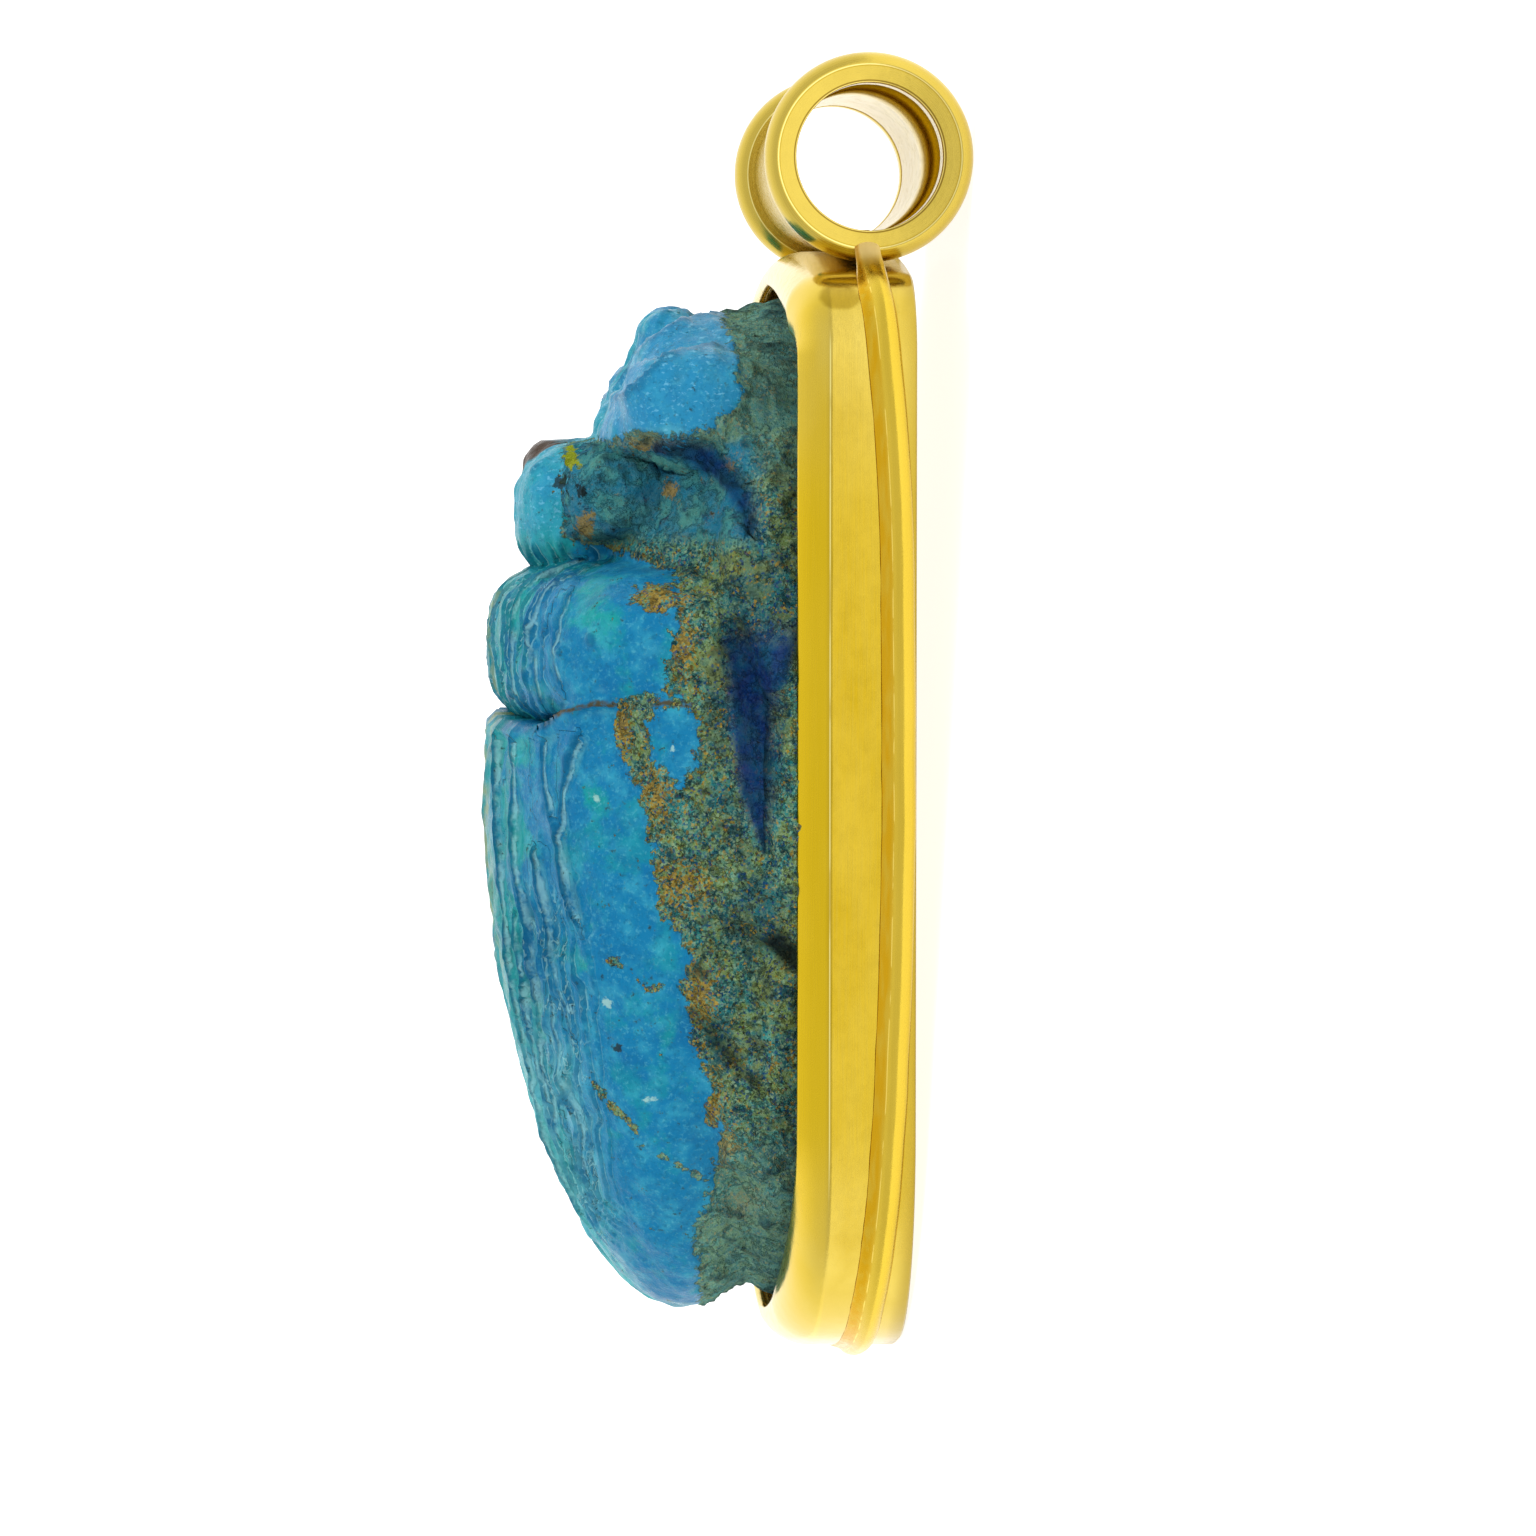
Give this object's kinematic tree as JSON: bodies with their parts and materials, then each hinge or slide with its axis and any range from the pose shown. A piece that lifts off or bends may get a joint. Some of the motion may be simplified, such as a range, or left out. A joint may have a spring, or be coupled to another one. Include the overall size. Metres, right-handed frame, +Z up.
{
  "type": "scarab amulet",
  "caption": "Carved blue faience scarab seated in a closed-back gold bezel pendant, with a soldered side wire and a tube bail between two rolled collars.",
  "frame": {"origin": "middle of the bounding box, on the level surface the pendant lies on", "axes": "+X across the pendant, along the bail; +Y lengthwise from the lower end towards the bail; +Z up, out of the scarab's back"},
  "size_m": [0.0328, 0.0566, 0.0191],
  "materials": {
    "faience": "semi-gloss worn glaze with earthy crust",
    "gold": "satin polished yellow gold"
  },
  "bodies": {
    "root": {"scarab": "faience", "bezel_band": "gold", "back_plate": "gold", "side_wire": "gold", "bail_tube": "gold", "bail_collar_right": "gold", "bail_collar_left": "gold"}
  },
  "joints": []
}
